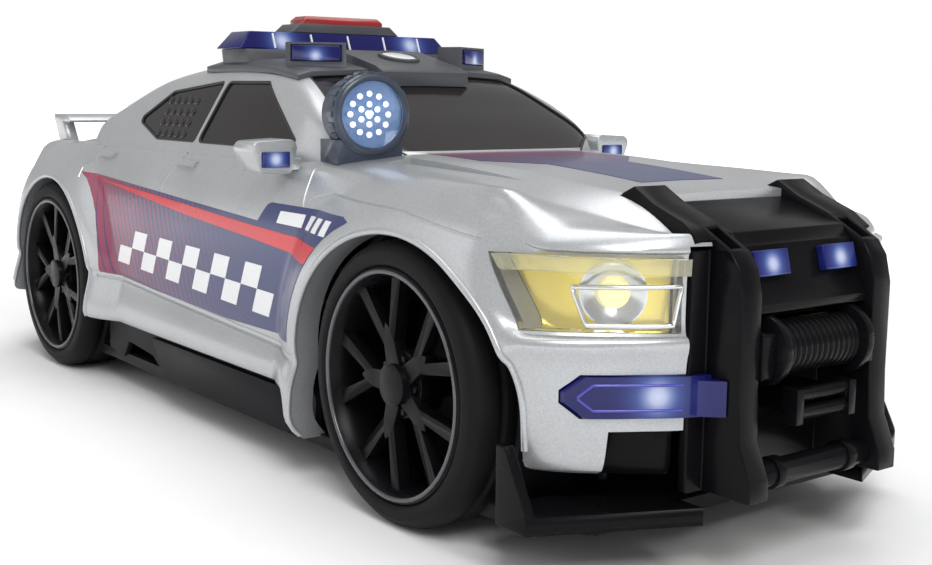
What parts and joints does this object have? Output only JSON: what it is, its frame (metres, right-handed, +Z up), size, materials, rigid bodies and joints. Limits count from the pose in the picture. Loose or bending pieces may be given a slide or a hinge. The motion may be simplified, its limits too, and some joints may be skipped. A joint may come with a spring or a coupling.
{
  "type": "toy police car",
  "caption": "Free-wheeling toy police car with a push guard and winch, roof light bar with press button, spotlight and tinted cabin.",
  "frame": {"origin": "middle of the bounding box at ground level, under the wheels", "axes": "+X to the front of the car, +Y to its left, +Z up"},
  "size_m": [0.33, 0.122, 0.1142],
  "materials": {
    "black_plastic": "satin moulded",
    "wheel_black": "satin",
    "tyre_rubber": "matt",
    "steel": "drawn",
    "battery_sleeve": "printed sleeve",
    "speaker_black": "paper and plastic",
    "board_green": "solder mask",
    "knob_white": "moulded",
    "silver_body": "metallic silver paint",
    "smoked_window": "smoked clear",
    "clear_lens": "clear",
    "reflector_silver": "bright vacuum plated",
    "blue_lens": "clear blue",
    "red_lens": "clear red",
    "rack_grey": "satin grey",
    "board_white": "white",
    "button_red": "moulded",
    "dome_rubber": "silicone",
    "spot_grey": "satin blue-grey"
  },
  "bodies": {
    "car_body": {"chassis_base": "black_plastic", "battery_door": "black_plastic", "battery_door_screw": "steel", "battery_cells": "battery_sleeve", "battery_contacts": "steel", "speaker": "speaker_black", "circuit_board": "board_green", "board_screws": "steel", "power_switch_body": "black_plastic", "chassis_screws": "steel", "body_shell": "silver_body", "window_insert": "smoked_window", "spoiler": "silver_body", "right_headlight_lens": "clear_lens", "left_headlight_lens": "clear_lens", "right_headlight_reflector": "reflector_silver", "left_headlight_reflector": "reflector_silver", "right_fog_lens": "blue_lens", "left_fog_lens": "blue_lens", "right_tail_lens": "red_lens", "left_tail_lens": "red_lens", "right_mirror": "silver_body", "left_mirror": "silver_body", "right_mirror_light": "blue_lens", "left_mirror_light": "blue_lens", "guard_frame": "black_plastic", "guard_panel": "black_plastic", "strobe_lenses": "blue_lens", "winch_drum": "black_plastic", "winch_housings": "black_plastic", "fairlead": "black_plastic", "guard_tube": "black_plastic", "front_splitter": "black_plastic", "bumper_grilles": "black_plastic", "roof_rack": "rack_grey", "right_pod_lens": "blue_lens", "left_pod_lens": "blue_lens", "light_bar_lens": "blue_lens", "light_bar_collar": "rack_grey", "light_bar_board": "board_white", "button_dome": "dome_rubber", "spotlight_housing": "spot_grey", "spotlight_reflector": "reflector_silver", "spotlight_lens": "clear_lens"},
    "front_wheels": {"front_axle": "steel", "front_right_wheel": "wheel_black", "front_left_wheel": "wheel_black", "front_right_tyre": "tyre_rubber", "front_left_tyre": "tyre_rubber"},
    "rear_wheels": {"rear_axle": "steel", "rear_right_wheel": "wheel_black", "rear_left_wheel": "wheel_black", "rear_right_tyre": "tyre_rubber", "rear_left_tyre": "tyre_rubber"},
    "button": {"press_button": "button_red"},
    "switch": {"power_switch_knob": "knob_white"}
  },
  "joints": [
    {"name": "front_axle_spin", "type": "hinge", "parent": "car_body", "child": "front_wheels", "pos_m": [0.0945, 0, 0.031], "axis": [0, 1, 0], "continuous": true},
    {"name": "rear_axle_spin", "type": "hinge", "parent": "car_body", "child": "rear_wheels", "pos_m": [-0.1085, 0, 0.031], "axis": [0, 1, 0], "continuous": true},
    {"name": "button_press", "type": "slide", "parent": "car_body", "child": "button", "axis": [0, 0, -1], "range_m": [0, 0.0012], "stiffness_N_per_m": 600, "deforming": ["button_dome"]},
    {"name": "power_switch", "type": "slide", "parent": "car_body", "child": "switch", "axis": [1, 0, 0], "range_m": [0, 0.004]}
  ]
}
